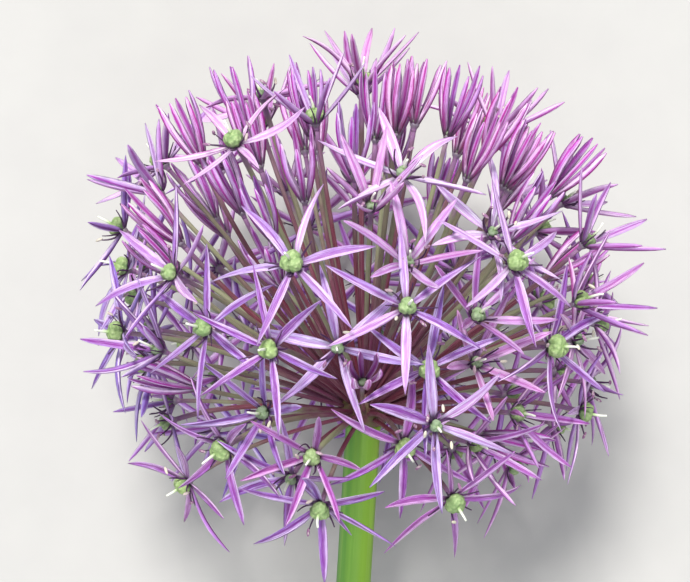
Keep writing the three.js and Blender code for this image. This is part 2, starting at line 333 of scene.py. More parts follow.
class Plan:
    """A node tree as it is written, either of a shape or of a finish."""

    def __init__(self, tree):
        self.tree = tree

    def node(self, kind, feeds=(), output=0, **settings):
        """Adds a node and returns the wire from one of its outputs."""
        node = self.tree.nodes.new(kind)
        for name, value in settings.items():
            setattr(node, name, value)
        for name, value in dict(feeds).items():
            self.feed(node.inputs[name], value)
        return Wire(self, node.outputs[output])

    def feed(self, socket, value):
        if isinstance(value, Wire):
            self.tree.links.new(value.socket, socket)
        else:
            socket.default_value = value

    def work(self, operation, *values):
        """A function of numbers, or of vectors where one of the values is a vector."""
        is_vector = [isinstance(value, Wire) and value.socket.type == "VECTOR" for value in values]
        if not any(is_vector):
            return self.node("ShaderNodeMath", enumerate(values), operation=operation)
        if operation == "MULTIPLY" and not all(is_vector):
            vector, number = values if is_vector[0] else reversed(values)
            feeds = {"Vector": vector, "Scale": number}
            return self.node("ShaderNodeVectorMath", feeds, operation="SCALE")
        return self.node("ShaderNodeVectorMath", enumerate(values), operation=operation)

    def parts(self, vector):
        """The three parts of a vector, or of the attribute of that name."""
        if isinstance(vector, str):
            vector = self.attribute(vector)
        x_part = self.node("ShaderNodeSeparateXYZ", {0: vector})
        return [Wire(self, socket) for socket in x_part.socket.node.outputs]

    def vector(self, x=0, y=0, z=0):
        return self.node("ShaderNodeCombineXYZ", {"X": x, "Y": y, "Z": z})

    def rise(self, value, low, high, smooth=True):
        """0 up to low and 1 from high on."""
        feeds = {"Value": value, "From Min": low, "From Max": high}
        kind = "SMOOTHSTEP" if smooth else "LINEAR"
        return self.node("ShaderNodeMapRange", feeds, interpolation_type=kind)

    def profile(self, value, points):
        """A smooth line through points of (share, height)."""
        wire = self.node("ShaderNodeFloatCurve", {"Value": value})
        mapping = wire.socket.node.mapping
        curve = mapping.curves[0]
        for place in points[1:-1]:
            curve.points.new(*place)
        curve.points[0].location = points[0]
        curve.points[-1].location = points[-1]
        mapping.update()
        return wire


class Finish(Plan):
    """The node tree of a material, with what its colours need."""

    def __init__(self, name, roughness, gloss=0.5):
        self.material = bpy.data.materials.new(name)
        self.material.use_nodes = True
        super().__init__(self.material.node_tree)
        self.shader = self.tree.nodes["Principled BSDF"]
        self.shader.inputs["Roughness"].default_value = roughness
        self.shader.inputs["Specular IOR Level"].default_value = gloss

    def attribute(self, name, output="Vector"):
        return self.node("ShaderNodeAttribute", output=output, attribute_name=name)

    def place(self):
        return self.node("ShaderNodeTexCoord", output="Object")

    def blend(self, share, first, second):
        """first where share is 0 and second where it is 1."""
        return self.node(
            "ShaderNodeMix", {0: share, 6: first, 7: second}, output=2, data_type="RGBA"
        )

    def coats(self, colour, *coats):
        """The colour with its coats laid over it in turn, each a pair of share and colour."""
        for share, coat in coats:
            colour = self.blend(share, colour, coat)
        return colour

    def noise(self, scale, place=None, detail=2, roughness=0.5):
        place = place or self.place()
        feeds = {"Vector": place, "Scale": scale, "Detail": detail, "Roughness": roughness}
        return self.node("ShaderNodeTexNoise", feeds)

    def coloured(self, colour, height=None, depth=0):
        """Puts colour and relief on the shader. depth is in metres."""
        self.feed(self.shader.inputs["Base Color"], colour)
        if height is not None:
            feeds = {"Height": height, "Distance": depth}
            self.feed(self.shader.inputs["Normal"], self.node("ShaderNodeBump", feeds))
        return self.material


def shade(red, green, blue):
    """A colour as seen on a screen, in the linear values that a shader takes."""
    seen = np.array([red, green, blue]) / 255
    linear = np.where(seen <= 0.04045, seen / 12.92, ((seen + 0.055) / 1.055) ** 2.4)
    return (*linear.tolist(), 1)


def turned_form(name, profile, sides, swell=None):
    """A closed form round the stalk's line, from its lowest point to its highest."""
    profile = np.array(profile, float)
    turn = np.arange(sides) * 2 * math.pi / sides
    radius = np.repeat(profile[1:-1, :1], sides, axis=1)
    height = np.repeat(profile[1:-1, 1:], sides, axis=1)
    if swell is not None:
        radius = radius * swell(turn[None, :], height)
    rings = np.stack([radius * np.cos(turn), radius * np.sin(turn), height], axis=-1)
    poles = np.array([[0, 0, profile[0, 1]], [0, 0, profile[-1, 1]]])
    corners = np.concatenate([rings.reshape(-1, 3), poles])
    low_pole, high_pole = len(corners) - 2, len(corners) - 1
    last = len(rings) - 1
    faces = []
    for i in range(sides):
        following = (i + 1) % sides
        faces.append((low_pole, following, i))
        faces.append((high_pole, last * sides + i, last * sides + following))
        for ring in range(last):
            low, high = ring * sides, (ring + 1) * sides
            faces.append((low + i, low + following, high + following, high + i))
    mesh = bpy.data.meshes.new(name)
    mesh.from_pydata(laid(corners).tolist(), [], faces)
    mesh.shade_smooth()
    return mesh


def brought_in(name, data):
    thing = bpy.data.objects.new(name, data)
    bpy.context.scene.collection.objects.link(thing)
    return thing


def placed(name, mesh, slot, *nodes):
    """Brings in a finished piece, which rides on the flower and replaces its solids."""
    piece = brought_in(name, mesh)
    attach(piece, "root")
    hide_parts(*nodes)


def dimples(turn, height):
    around = np.sin(DIMPLES_AROUND * turn)
    return 1 + DIMPLE_DEPTH * around * np.sin(DIMPLE_CLOSENESS * height)


dome_profile = [(0, 0), (DOME_FOOT_RADIUS, 0)]
for angle in np.linspace(DOME_LOWEST, math.pi / 2, DOME_RINGS):
    radius = DOME_RADIUS * math.cos(angle)
    dome_profile.append((radius, DOME_CENTRE[2] + DOME_RADIUS * math.sin(angle)))
dome_mesh = turned_form("receptacle", dome_profile, DOME_SIDES, dimples)

dome_finish = Finish("maroon_flushed_green", roughness=0.6)
flush = dome_finish.noise(420, detail=4)
is_green = dome_finish.rise(flush, 0.35, 0.65)
colour = dome_finish.blend(is_green, shade(98, 40, 52), shade(92, 84, 48))
dome_mesh.materials.append(dome_finish.coloured(colour, height=flush, depth=0.0004))
placed("receptacle", dome_mesh, "tepals", "umbel")


# The pedicels
# One thin stalk to each floret, straight or slightly bowed. They crowd together maroon at the
# dome, go green and brown further out and purple under the florets, and swell into a small cup.
PEDICEL_SIDES = 10
PEDICEL_STEPS = 16
PEDICEL_RADII = (0.6, 0.66)
PEDICEL_STOUTNESS = (0.9, 1.12)
CUP_WIDTH = 1.35
CUP_HEIGHT = 2.3
CUP_SIDES = 12
CUP_STEPS = 5
CUP_OUTLINE = [(0, 0.5), (0.4, 0.56), (0.8, 0.94), (1, 0.82)]
CUP_BELOW_END = 0.5
CUP_VARIETY = (0.88, 1.08)
VARIETY_SEED = 11


def of_all(name):
    return np.array([floret[name] for floret in florets])


def seed_points(name, places, values):
    """Points for a tree to grow something on, each with one of every kind of values."""
    mesh = bpy.data.meshes.new(name)
    mesh.from_pydata(np.reshape(places, (-1, 3)).tolist(), [], [])
    for attribute, given in values.items():
        given = np.asarray(given, np.float32)
        is_vector = given.ndim > 1
        kind, field = ("FLOAT_VECTOR", "vector") if is_vector else ("FLOAT", "value")
        layer = mesh.attributes.new(attribute, kind, "POINT")
        layer.data.foreach_set(field, given.ravel())
    return mesh


class Growth(Plan):
    """A tree that puts one small form on each seed point and bends it by the point's values."""

    def __init__(self, name, **sizes):
        self.sizes = sizes
        super().__init__(bpy.data.node_groups.new(name, "GeometryNodeTree"))
        interface = self.tree.interface
        interface.new_socket("Geometry", in_out="INPUT", socket_type="NodeSocketGeometry")
        for size, value in sizes.items():
            kind = "NodeSocketInt" if isinstance(value, int) else "NodeSocketFloat"
            interface.new_socket(size, in_out="INPUT", socket_type=kind)
        interface.new_socket("Geometry", in_out="OUTPUT", socket_type="NodeSocketGeometry")
        self.entry = self.tree.nodes.new("NodeGroupInput")

    def size(self, name):
        return Wire(self, self.entry.outputs[name])

    def attribute(self, name, data_type="FLOAT_VECTOR"):
        feeds = {"Name": name}
        return self.node("GeometryNodeInputNamedAttribute", feeds, data_type=data_type)

    def marked(self, form, name, value=None, kind="FLOAT_VECTOR"):
        """Keeps a value at each point, or else the point's place on the plain form."""
        if value is None:
            value = self.node("GeometryNodeInputPosition")
        feeds = {"Geometry": form, "Name": name, "Value": value}
        return self.node("GeometryNodeStoreNamedAttribute", feeds, data_type=kind, domain="POINT")

    def on_points(self, form, **more):
        feeds = {"Points": self.size("Geometry"), "Instance": form, **more}
        copies = self.node("GeometryNodeInstanceOnPoints", feeds)
        return self.node("GeometryNodeRealizeInstances", {"Geometry": copies})

    def rod(self, mark="on_stalk"):
        """On each seed point a closed plain rod, marked with the places on it."""
        feeds = {
            "Vertices": self.size("Sides"),
            "Side Segments": self.size("Steps"),
            "Radius": 1.0,
            "Depth": 1.0,
        }
        form = self.node("GeometryNodeMeshCylinder", feeds)
        return self.on_points(self.marked(form, mark))

    def ball(self, radius):
        feeds = {"Segments": self.size("Sides"), "Rings": self.size("Rings"), "Radius": radius}
        return self.node("GeometryNodeMeshUVSphere", feeds)

    def ended(self, form, finish, skin=None):
        """Bends the form to where its skin is to lie, and gives it its finish."""
        if skin is not None:
            form = self.node("GeometryNodeSetPosition", {"Geometry": form, "Position": skin})
        form = self.node("GeometryNodeRealizeInstances", {"Geometry": form})
        form = self.node("GeometryNodeSetShadeSmooth", {"Geometry": form})
        feeds = {"Geometry": form, "Material": finish.material}
        form = self.node("GeometryNodeSetMaterial", feeds)
        outlet = self.tree.nodes.new("NodeGroupOutput")
        self.feed(outlet.inputs["Geometry"], form)
        return self

    def grow(self, name, places, values):
        """Grows a piece of the florets from the places and values of its points."""
        seedling = brought_in(name, seed_points(name, places, values))
        modifier = seedling.modifiers.new("growth", "NODES")
        modifier.node_group = self.tree
        for item in self.tree.interface.items_tree:
            if item.in_out == "INPUT" and item.name in self.sizes:
                modifier[item.identifier] = self.sizes[item.name]
        evaluated = seedling.evaluated_get(bpy.context.evaluated_depsgraph_get())
        mesh = bpy.data.meshes.new_from_object(evaluated)
        bpy.data.objects.remove(seedling)
        mesh.name = name
        placed(name, mesh, "tepals", "umbel")


def stalk_growth(name, finish, sides, steps, radii):
    """A tree for thin stalks, each along its own curve from its root past a bend to its end."""
    root_radius, end_radius = [radius * MILLIMETRE for radius in radii]
    growth = Growth(name, Sides=sides, Steps=steps, Root=root_radius, End=end_radius)
    rod = growth.rod()
    x, y, z = growth.parts("on_stalk")
    share = z + 0.5
    rest = 1.0 - share
    root, bend, end = [growth.attribute(part) for part in ("root", "bend", "end")]
    middle = root * (rest * rest) + bend * (share * rest * 2.0) + end * (share * share)
    tangent = growth.work("NORMALIZE", (bend - root) * rest + (end - bend) * share)
    across = growth.work("CROSS_PRODUCT", growth.attribute("beside"), tangent)
    across = growth.work("NORMALIZE", across)
    upward = growth.work("CROSS_PRODUCT", tangent, across)
    radius = growth.size("Root") * rest + growth.size("End") * share
    radius = radius * growth.attribute("stoutness", "FLOAT")
    skin = middle + across * (x * radius) + upward * (y * radius)
    return growth.ended(rod, finish, skin)


place, facing = of_all("place"), of_all("facing")
across, beside = of_all("across"), of_all("beside")
stages = [floret["stage"] for floret in florets]
variety = np.random.default_rng(VARIETY_SEED)

pedicel_finish = Finish("pedicel_skin", roughness=0.48)
x, y, z = pedicel_finish.parts("on_stalk")
tone = pedicel_finish.attribute("tone", "Fac")
patches = pedicel_finish.noise(160, detail=3)
along = pedicel_finish.vector(x * 2.5, y * 2.5, z * 3.0)
streaks = pedicel_finish.noise(3.0, along, detail=3)
outwards = z + 0.5 + (patches - 0.5) * 0.35
is_green = pedicel_finish.rise(tone + (patches - 0.5) * 0.5, 0.3, 0.6)
colour = pedicel_finish.blend(is_green, shade(128, 92, 104), shade(162, 170, 126))
# Each pedicel is painted darker brown by a random share: a painted shade for pedicels deep in the
# head.
colour = pedicel_finish.blend(pedicel_finish.attribute("painted_shade_chance", "Fac"), colour, shade(92, 70, 66))
maroon_ends = pedicel_finish.rise(outwards + (tone - 0.5) * 0.4, 0.34, 0.74)
maroon = pedicel_finish.blend(tone, shade(118, 38, 58), shade(124, 62, 96))
colour = pedicel_finish.coats(
    pedicel_finish.blend(maroon_ends, maroon, colour),
    (pedicel_finish.rise(outwards, 0.82, 1.0), shade(134, 92, 136)),
    # Pale pinkish streaks along the pedicels: partly pale ridges and partly painted highlights.
    (pedicel_finish.rise(streaks, 0.5, 0.72) * 0.6, shade(184, 154, 160)),
)
pedicel_finish.coloured(colour, height=streaks, depth=0.0002)

pedicel_values = dict(
    root=laid(of_all("root")),
    bend=laid(of_all("bend")),
    end=laid(of_all("end")),
    beside=turned(beside),
    stoutness=variety.uniform(*PEDICEL_STOUTNESS, FLORET_COUNT),
    tone=variety.uniform(0, 1, FLORET_COUNT),
    # How much darker each pedicel is painted, as painted shade.
    painted_shade_chance=variety.uniform(0, 0.75, FLORET_COUNT),
)
pedicel_growth = stalk_growth(
    "pedicel growth", pedicel_finish, PEDICEL_SIDES, PEDICEL_STEPS, PEDICEL_RADII
)
pedicel_growth.grow("pedicels", laid(place), pedicel_values)

cup_finish = Finish("cup_skin", roughness=0.5)
x, y, z = cup_finish.parts("on_stalk")
bloom = cup_finish.noise(700, detail=3)
colour = cup_finish.blend(cup_finish.rise(z, -0.4, 0.3), shade(134, 92, 136), shade(120, 108, 124))
colour = cup_finish.blend(cup_finish.rise(bloom, 0.45, 0.8) * 0.6, colour, shade(150, 150, 128))
cup_finish.coloured(colour, height=bloom, depth=0.0002)

cup_growth = Growth(
    "cup growth",
    Sides=CUP_SIDES,
    Steps=CUP_STEPS,
    Width=CUP_WIDTH * MILLIMETRE,
    Height=CUP_HEIGHT * MILLIMETRE,
)
cup = cup_growth.rod()
x, y, z = cup_growth.parts("on_stalk")
radius = cup_growth.profile(z + 0.5, CUP_OUTLINE)
radius = radius * cup_growth.size("Width") * cup_growth.attribute("breadth", "FLOAT")
rise = cup_growth.attribute("facing") * ((z + 0.5) * cup_growth.size("Height"))
sideways = cup_growth.attribute("across") * (x * radius)
sideways = sideways + cup_growth.attribute("beside") * (y * radius)
cup_growth.ended(cup, cup_finish, cup_growth.attribute("end") + rise + sideways)
cup_values = dict(
    end=laid(of_all("end") - CUP_BELOW_END * facing),
    facing=turned(facing),
    across=turned(across),
    beside=turned(beside),
    breadth=variety.uniform(*CUP_VARIETY, FLORET_COUNT),
)
cup_growth.grow("floret_cups", laid(place), cup_values)


# The tepals
# Six narrow blades round each floret, lilac with a darker rib, pale edges and fine streaks. One half
# of each blade is painted lighter, as painted light on its fold, and its foot is painted darker, as
# painted shade in the floret's throat. Young ones stand in a tight tuft with deep magenta backs
# outwards, and old ones spread flat, pinker on some florets than on others. Every blade is bowed,
# twisted and folded, a few strongly or hooked.
TEPAL_WIDTH = 2.6
TEPAL_THICKNESS = 0.32
TEPAL_KEEL = 0.42
TEPAL_SEAT = 0.35
TEPAL_SIDES = 8
TEPAL_STEPS = 8
OPEN_OUTLINE = [
    (0, 0.46), (0.1, 0.66), (0.24, 0.93), (0.38, 1), (0.6, 0.9), (0.82, 0.6), (0.94, 0.34), (1, 0.08)
]
YOUNG_OUTLINE = [(0, 0.62), (0.15, 0.82), (0.45, 1), (0.72, 1), (0.9, 0.78), (1, 0.26)]
RIPE_FROM = math.radians(70)
FRESH_SHARE_ABOVE = 0.6
FRESH_SHARE_BELOW = 0.08
YOUTH_OF = {"star": 0.0, "half": 0.4, "tuft": 1.0}
FOLD_OF = {"star": 0.4, "half": 0.55, "tuft": 0.85}
BREADTH_OF = {"star": 0.98, "half": 0.86, "tuft": 0.68}
RIPE_LEAST = 0.7
RIPE_SPREAD = 0.3
FRESH_BREADTH = 1.06
RIPE_NARROWING = 0.2
FREE_FROM_HEIGHT = 8
TUFT_STIFFNESS = 0.85
HEAD_RADIUS = 65
CROWN_HEIGHT = 110
BLUSH_MIDDLE = 0.55
BLUSH_TO_RIGHT = 0.22
BLUSH_OF_FLORET = 0.4
BLUSH_OF_BLADE = 0.16
BLUEST_HUE = 0.453
HUE_SPREAD = 0.09
HOOKED_SHARE = 0.08
HOOK_DEPTHS = (2.5, 5)
BREADTH_VARIETY = (0.84, 1.16)
FOLD_VARIETY = (0.5, 1.5)
MOST_TWIST = 1.8
MOST_BOW = 1.7
MOST_SWEEP = 1.4
MOST_CURL = 1.8
TUFT_BOW = 0.8
TUFT_CURL = 1.5

tepal_finish = Finish("lilac_tepal", roughness=0.36)
x, y, z = tepal_finish.parts("on_tepal")
youth, tone, crown, painted_lit_side, blush = [
    tepal_finish.attribute(name, "Fac")
    for name in ("youth", "tone", "crown", "painted_lit_side", "blush")
]
share = z + 0.5
from_rib = tepal_finish.work("ABSOLUTE", x)
along = tepal_finish.vector(x * 1.5, tone * 60.0, share * 1.6)
veins = tepal_finish.noise(2.4, along, detail=4, roughness=0.6)
along = tepal_finish.vector(x * 3.2, tone * 90.0, share * 0.8)
thin_lines = tepal_finish.rise(
    tepal_finish.noise(2.0, along, detail=3, roughness=0.7), 0.53, 0.58
)
blotches = tepal_finish.noise(300)
along = tepal_finish.vector(x * 7.0, tone * 130.0, share * 2.4)
grain = tepal_finish.noise(2.4, along, detail=3, roughness=0.7)
is_inner = tepal_finish.rise(y, -0.15, 0.15)
striped = tepal_finish.work("ABSOLUTE", painted_lit_side) * 0.4 + 0.6
uneven = (veins - 0.5) * 0.9 + (grain - 0.5) * 0.7
rib = 1.0 - tepal_finish.rise(from_rib + uneven, 0.1, 0.5)
rib = rib * tepal_finish.work("MAXIMUM", striped, youth)
# The blade's side value picks which half of the blade is painted lighter, a painted light on the
# fold, and how strongly, and widens the pale rim on that half.
uneven = (veins - 0.5) * 0.7 + (grain - 0.5) * 0.4 + x * painted_lit_side * 0.3
rim = tepal_finish.rise(from_rib + uneven, 0.6, 0.95)
painted_lit_half = tepal_finish.rise(x * painted_lit_side * 1.6 + (veins - 0.5) * 1.2, -0.3, 0.3)
bleached = tepal_finish.rise(crown + (tone - 0.5) * 0.7, 0.32, 0.8)
towards_tip = tepal_finish.rise(share, 0.12, 0.6)

aged = tepal_finish.coats(
    tepal_finish.blend(tone, shade(162, 82, 190), shade(160, 112, 212)),
    # The lit half painted paler: painted light.
    (painted_lit_half * 0.9, tepal_finish.blend(tone, shade(222, 168, 238), shade(208, 190, 246))),
    (tepal_finish.rise(veins, 0.5, 0.7) * 0.6, shade(238, 216, 252)),
    (rim * 0.65, shade(236, 214, 248)),
    (rib * 0.85, shade(122, 38, 134)),
    (thin_lines * 0.75, shade(120, 34, 122)),
)
fresh = tepal_finish.coats(
    tepal_finish.blend(towards_tip, shade(242, 234, 248), shade(236, 206, 248)),
    # The lit half painted nearly white: a painted highlight.
    (painted_lit_half * 0.6, shade(252, 240, 254)),
    (rib * 0.75, shade(206, 140, 214)),
    (rim, shade(230, 160, 230)),
    (thin_lines * 0.6, shade(178, 104, 190)),
)
back = tepal_finish.coats(
    tepal_finish.blend(bleached, shade(176, 122, 212), shade(220, 164, 228)),
    (rib, tepal_finish.blend(bleached, shade(126, 46, 138), shade(176, 80, 168))),
    (rim, shade(236, 206, 244)),
)
open_colour = tepal_finish.blend(is_inner, back, tepal_finish.blend(bleached, aged, fresh))
young_tip = tepal_finish.blend(tone, shade(226, 156, 240), shade(238, 190, 252))
young = tepal_finish.coats(
    tepal_finish.blend(tepal_finish.rise(share, 0.08, 0.65), shade(122, 80, 124), young_tip),
    (rib, tepal_finish.blend(towards_tip, shade(142, 40, 122), shade(190, 72, 174))),
    (rim, shade(246, 214, 250)),
    (thin_lines * 0.8, shade(160, 30, 132)),
    (is_inner * 0.5, shade(132, 60, 142)),
)
# The foot of every blade is painted darker: a painted shade where the blades meet in the floret's
# throat.
painted_throat_shade = 1.0 - tepal_finish.rise(share, 0.02, 0.18)
colour = tepal_finish.coats(
    tepal_finish.blend(youth, open_colour, young),
    (painted_throat_shade * 0.7, shade(116, 96, 116)),
    (tepal_finish.rise(blotches, 0.52, 0.8) * 0.3, shade(156, 88, 186)),
    (tepal_finish.rise(grain, 0.5, 0.72) * 0.45, shade(118, 44, 124)),
    (tepal_finish.rise(1.0 - grain, 0.5, 0.72) * 0.25, shade(240, 216, 246)),
)
hue = blush * HUE_SPREAD + BLUEST_HUE
feeds = {"Hue": hue, "Saturation": 0.96 + rib * 0.14, "Color": colour}
colour = tepal_finish.node("ShaderNodeHueSaturation", feeds)
tepal_finish.coloured(colour, height=veins, depth=0.0004)

tepal_growth = Growth(
    "tepal growth",
    Sides=TEPAL_SIDES,
    Steps=TEPAL_STEPS,
    Width=TEPAL_WIDTH * MILLIMETRE,
    Thickness=TEPAL_THICKNESS * MILLIMETRE,
    Keel=TEPAL_KEEL * MILLIMETRE,
)
blade = tepal_growth.rod("on_tepal")
x, y, z = tepal_growth.parts("on_tepal")
share = z + 0.5
fold, twist, bow, sweep, curl, breadth, reach = [
    tepal_growth.attribute(name, "FLOAT")
    for name in ("fold", "twist", "bow", "sweep", "curl", "breadth", "reach")
]
youth = tepal_growth.attribute("youth", "FLOAT")
outline = tepal_growth.profile(share, OPEN_OUTLINE) * (1.0 - youth)
outline = outline + tepal_growth.profile(share, YOUNG_OUTLINE) * youth
half_width = outline * tepal_growth.size("Width") * 0.5 * breadth
off_rib = x * x
keel = tepal_growth.work("MAXIMUM", y * -1.0, 0.0) * (1.0 - off_rib) * outline
height = (
    fold * half_width * off_rib
    + y * (outline * 0.7 + 0.3) * tepal_growth.size("Thickness") * 0.5
    - keel * tepal_growth.size("Keel")
)
width = x * half_width
cosine = tepal_growth.work("COSINE", twist * share)
sine = tepal_growth.work("SINE", twist * share)
arc = tepal_growth.work("SINE", share * math.pi)
inward = width * sine + height * cosine + arc * bow - share * share * share * curl
sideways = width * cosine - height * sine + arc * sweep
skin = (
    tepal_growth.attribute("base")
    + tepal_growth.attribute("direction") * (share * reach)
    + tepal_growth.attribute("side") * sideways
    + tepal_growth.attribute("inner") * inward
)
tepal_growth.ended(blade, tepal_finish, skin)

blade_count = FLORET_COUNT * TEPAL_COUNT


def by_blade(values):
    return np.repeat(np.asarray(values, float), TEPAL_COUNT, axis=0)


def of_stage(values):
    return by_blade([values[stage] for stage in stages])


def chance(low, high):
    return variety.uniform(low, high, blade_count)


def mostly_small(limit):
    """Chances up to the limit either way, few of them near it."""
    return limit * chance(-1, 1) ** 3


polar = of_all("polar")
fresh_share = np.where(polar < RIPE_FROM, FRESH_SHARE_ABOVE, FRESH_SHARE_BELOW)
is_fresh = variety.uniform(0, 1, FLORET_COUNT) < fresh_share
ripeness = np.where(is_fresh, 0.0, RIPE_LEAST)
ripeness = ripeness + variety.uniform(0, RIPE_SPREAD, FLORET_COUNT)
base, direction, length = of_all("base"), of_all("direction"), of_all("length")
lowest = np.minimum(height_of(base), height_of(base + direction * length[..., None])).ravel()
youth_of_blade = of_stage(YOUTH_OF)
freedom = np.clip(lowest / FREE_FROM_HEIGHT, 0, 1) * (1 - TUFT_STIFFNESS * youth_of_blade)
blush = BLUSH_MIDDLE + BLUSH_TO_RIGHT * place[:, 0] / HEAD_RADIUS
blush = blush + variety.uniform(-BLUSH_OF_FLORET, BLUSH_OF_FLORET, FLORET_COUNT)
is_hooked = chance(0, 1) < HOOKED_SHARE
hook = np.where(is_hooked, np.sign(chance(-1, 1)) * chance(*HOOK_DEPTHS), 0)
ripe_breadth = by_blade(FRESH_BREADTH - RIPE_NARROWING * ripeness)
crown = np.clip((place[:, 2] - BALL_CENTRE_RISE) / CROWN_HEIGHT + 0.5, 0, 1)
tepal_values = dict(
    base=laid(base - TEPAL_SEAT * of_all("radial")),
    direction=turned(direction),
    side=turned(of_all("side")),
    inner=turned(of_all("inner")),
    reach=length.ravel() * MILLIMETRE,
    breadth=of_stage(BREADTH_OF) * chance(*BREADTH_VARIETY) * ripe_breadth,
    fold=of_stage(FOLD_OF) * chance(*FOLD_VARIETY),
    twist=chance(-0.3, 0.3) + mostly_small(MOST_TWIST) * freedom,
    bow=(0.3 - TUFT_BOW * youth_of_blade + mostly_small(MOST_BOW) * freedom) * MILLIMETRE,
    sweep=(chance(-0.25, 0.25) + mostly_small(MOST_SWEEP) * freedom) * MILLIMETRE,
    curl=((mostly_small(MOST_CURL) + hook) * freedom - TUFT_CURL * youth_of_blade) * MILLIMETRE,
    youth=youth_of_blade,
    tone=by_blade(0.55 * (1 - ripeness)) + chance(0, 0.45),
    crown=by_blade(crown),
    # Which half of each blade is painted lit, and how strongly.
    painted_lit_side=np.sign(chance(-1, 1)) * chance(0.2, 1),
    blush=np.clip(by_blade(blush) + chance(-BLUSH_OF_BLADE, BLUSH_OF_BLADE), 0, 1),
)
tepal_growth.grow("tepals", laid(base), tepal_values)


# The ovaries and styles
# In the middle of each floret sits a green ball of three lobes, warty all over: small and grey
# green where the floret is fresh, swollen and pale green where it is ripe. On open florets it
# carries a short white-green style on its top.
OVARY_RADIUS = 2.55
OVARY_SIDES = 28
OVARY_RINGS = 14
OVARY_FLATNESS = 0.82
WART_SEED = 3.0
OVARY_OF = {"star": (0.6, 1.2), "half": (0.6, 1.0), "tuft": (0.45, 0.5)}
OVARY_VARIETY = (0.76, 1.04)
STYLE_LENGTH = 4.4
STYLE_VARIETY = (0.7, 1.1)
STYLE_LEAN = 0.2
STYLE_ROOT_RISE = 1.75
STYLE_RADII = (0.42, 0.26)
STYLE_SIDES = 7
STYLE_STEPS = 5
STYLE_LOWEST = 0.6

ovary_finish = Finish("warty_green", roughness=0.62, gloss=0.35)
x, y, z = ovary_finish.parts("on_ovary")
feeds = {"Vector": ovary_finish.place(), "Scale": 1100.0}
warts = ovary_finish.node("ShaderNodeTexVoronoi", feeds, feature="SMOOTH_F1")
speckle = ovary_finish.noise(1200, detail=3)
tone = ovary_finish.attribute("tone", "Fac")
swollen = ovary_finish.rise(ovary_finish.attribute("fullness", "Fac"), 0.65, 0.95)
ripe = ovary_finish.blend(tone, shade(138, 166, 110), shade(152, 176, 110))
# The tops of the warts are painted paler: a painted highlight on each wart.
ripe = ovary_finish.blend(ovary_finish.rise(warts, 0.1, 0.6), shade(172, 194, 136), ripe)
# The lower part of each ovary, down in its cup, is painted darker and bluer: a painted shade.
foot = 1.0 - ovary_finish.rise(z, -0.9, 0.0)
colour = ovary_finish.coats(
    ovary_finish.blend(swollen, shade(142, 162, 130), ripe),
    (ovary_finish.rise(speckle, 0.48, 0.62) * 0.4, shade(106, 138, 82)),
    # The grooves between the lobes are painted darker: a painted shade in the creases.
    (ovary_finish.attribute("groove", "Fac") * 0.7, shade(90, 118, 68)),
    (foot * 0.7, shade(82, 112, 82)),
)
ovary_finish.coloured(colour, height=warts * -1.0 + speckle * 0.4, depth=0.0005)

ovary_growth = Growth(
    "ovary growth",
    Sides=OVARY_SIDES,
    Rings=OVARY_RINGS,
    Radius=OVARY_RADIUS * MILLIMETRE,
    Flatness=OVARY_FLATNESS,
    Seed=WART_SEED,
)
ball = ovary_growth.on_points(ovary_growth.marked(ovary_growth.ball(1.0), "on_ovary"))
on_ball = ovary_growth.attribute("on_ovary")
x, y, z = ovary_growth.parts(on_ball)
turn = ovary_growth.node("ShaderNodeMath", {0: y, 1: x}, operation="ARCTAN2")
waist = 1.0 - z * z
lobes = ovary_growth.work("ABSOLUTE", ovary_growth.work("COSINE", turn * 1.5))
groove = ovary_growth.rise(1.0 - lobes, 0.5, 1.0) * waist
scallops = ovary_growth.work("COSINE", turn * 6.0) * waist
warty_place = on_ball + ovary_growth.attribute("place") * 900.0 + ovary_growth.size("Seed")
feeds = {"Vector": warty_place, "Scale": 2.8}
bumps = ovary_growth.node("ShaderNodeTexVoronoi", feeds, feature="SMOOTH_F1")
top_dip = ovary_growth.rise(z, 0.72, 1.0)
swell = 1.02 - groove * 0.3 + scallops * 0.065 - top_dip * 0.18 + (0.45 - bumps) * 0.16
radius = ovary_growth.size("Radius") * ovary_growth.attribute("fullness", "FLOAT") * swell
ball = ovary_growth.marked(ball, "groove", groove, "FLOAT")
skin = (
    ovary_growth.attribute("middle")
    + ovary_growth.attribute("across") * (x * radius)
    + ovary_growth.attribute("beside") * (y * radius)
    + ovary_growth.attribute("facing") * (z * radius * ovary_growth.size("Flatness"))
)
ovary_growth.ended(ball, ovary_finish, skin)

smallest, largest = np.array([OVARY_OF[stage] for stage in stages]).T
ovary_size = smallest + (largest - smallest) * ripeness
ovary_size = ovary_size * variety.uniform(*OVARY_VARIETY, FLORET_COUNT)
ovary_radius = OVARY_RADIUS * ovary_size
ovary_middle = place + facing * OVARY_FLATNESS * ovary_radius[:, None]
ovary_values = dict(
    middle=laid(ovary_middle),
    place=laid(place),
    facing=turned(facing),
    across=turned(across),
    beside=turned(beside),
    fullness=ovary_size,
    tone=variety.uniform(0, 1, FLORET_COUNT),
)
ovary_growth.grow("ovaries", laid(ovary_middle), ovary_values)

style_finish = Finish("pale_style", roughness=0.5)
x, y, z = style_finish.parts("on_stalk")
fleck = style_finish.noise(1200)
colour = style_finish.coats(
    style_finish.blend(style_finish.rise(z, -0.5, 0.1), shade(176, 204, 140), shade(236, 240, 224)),
    (style_finish.rise(fleck, 0.5, 0.9) * 0.5, shade(204, 214, 180)),
)
style_finish.coloured(colour, height=fleck, depth=0.0002)


def clear_of_table(roots, directions, lengths):
    """How long each straight thing may be before its end dips to the table."""
    fall = np.maximum(-(directions @ AWAY_FROM_TABLE), 1e-6)
    return np.minimum(lengths, (height_of(roots) - STYLE_LOWEST) / fall)


